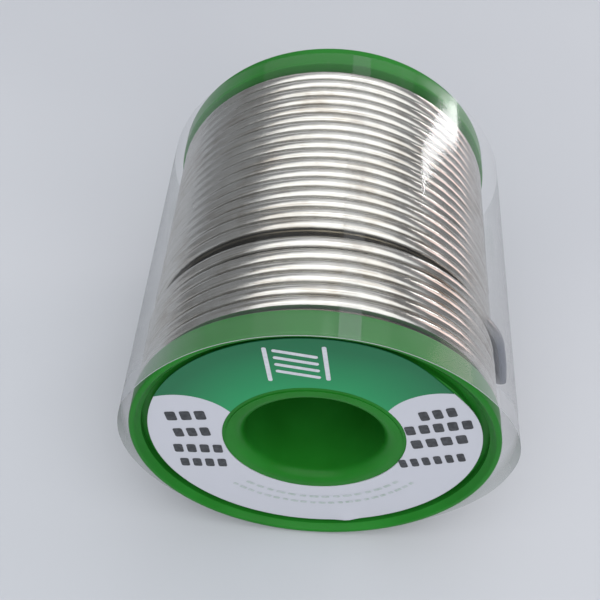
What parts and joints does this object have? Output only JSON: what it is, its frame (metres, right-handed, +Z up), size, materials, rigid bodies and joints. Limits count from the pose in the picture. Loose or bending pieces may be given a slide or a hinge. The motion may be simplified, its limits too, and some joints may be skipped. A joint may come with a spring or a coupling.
{
  "type": "solder wire spool",
  "caption": "Moulded plastic spool on its side, wound with solder wire and held in a loose clear film sleeve.",
  "frame": {"origin": "middle of the bore, on its axis", "axes": "+Y along the bore from the labelled flange to the plain one, +Z up with the spool on its side, +X to the right as the label is faced"},
  "size_m": [0.0597, 0.0608, 0.0562],
  "materials": {
    "spool_plastic": "moulded, slightly glossy",
    "label_paper": "coated printed paper",
    "solder": "bright drawn tin alloy",
    "clear_film": "clear glossy film"
  },
  "bodies": {
    "spool": {"spool_front_half": "spool_plastic", "spool_rear_half": "spool_plastic", "front_label": "label_paper", "wire_inner_layers": "solder", "wire_outer_layer": "solder", "wire_last_turns": "solder", "wire_free_end": "solder"},
    "sleeve": {"clear_sleeve": "clear_film", "sleeve_overlap": "clear_film"}
  },
  "joints": [
    {"name": "sleeve_slide", "type": "slide", "parent": "spool", "child": "sleeve", "axis": [0, 1, 0], "range_m": [-0.056, 0.056]}
  ]
}
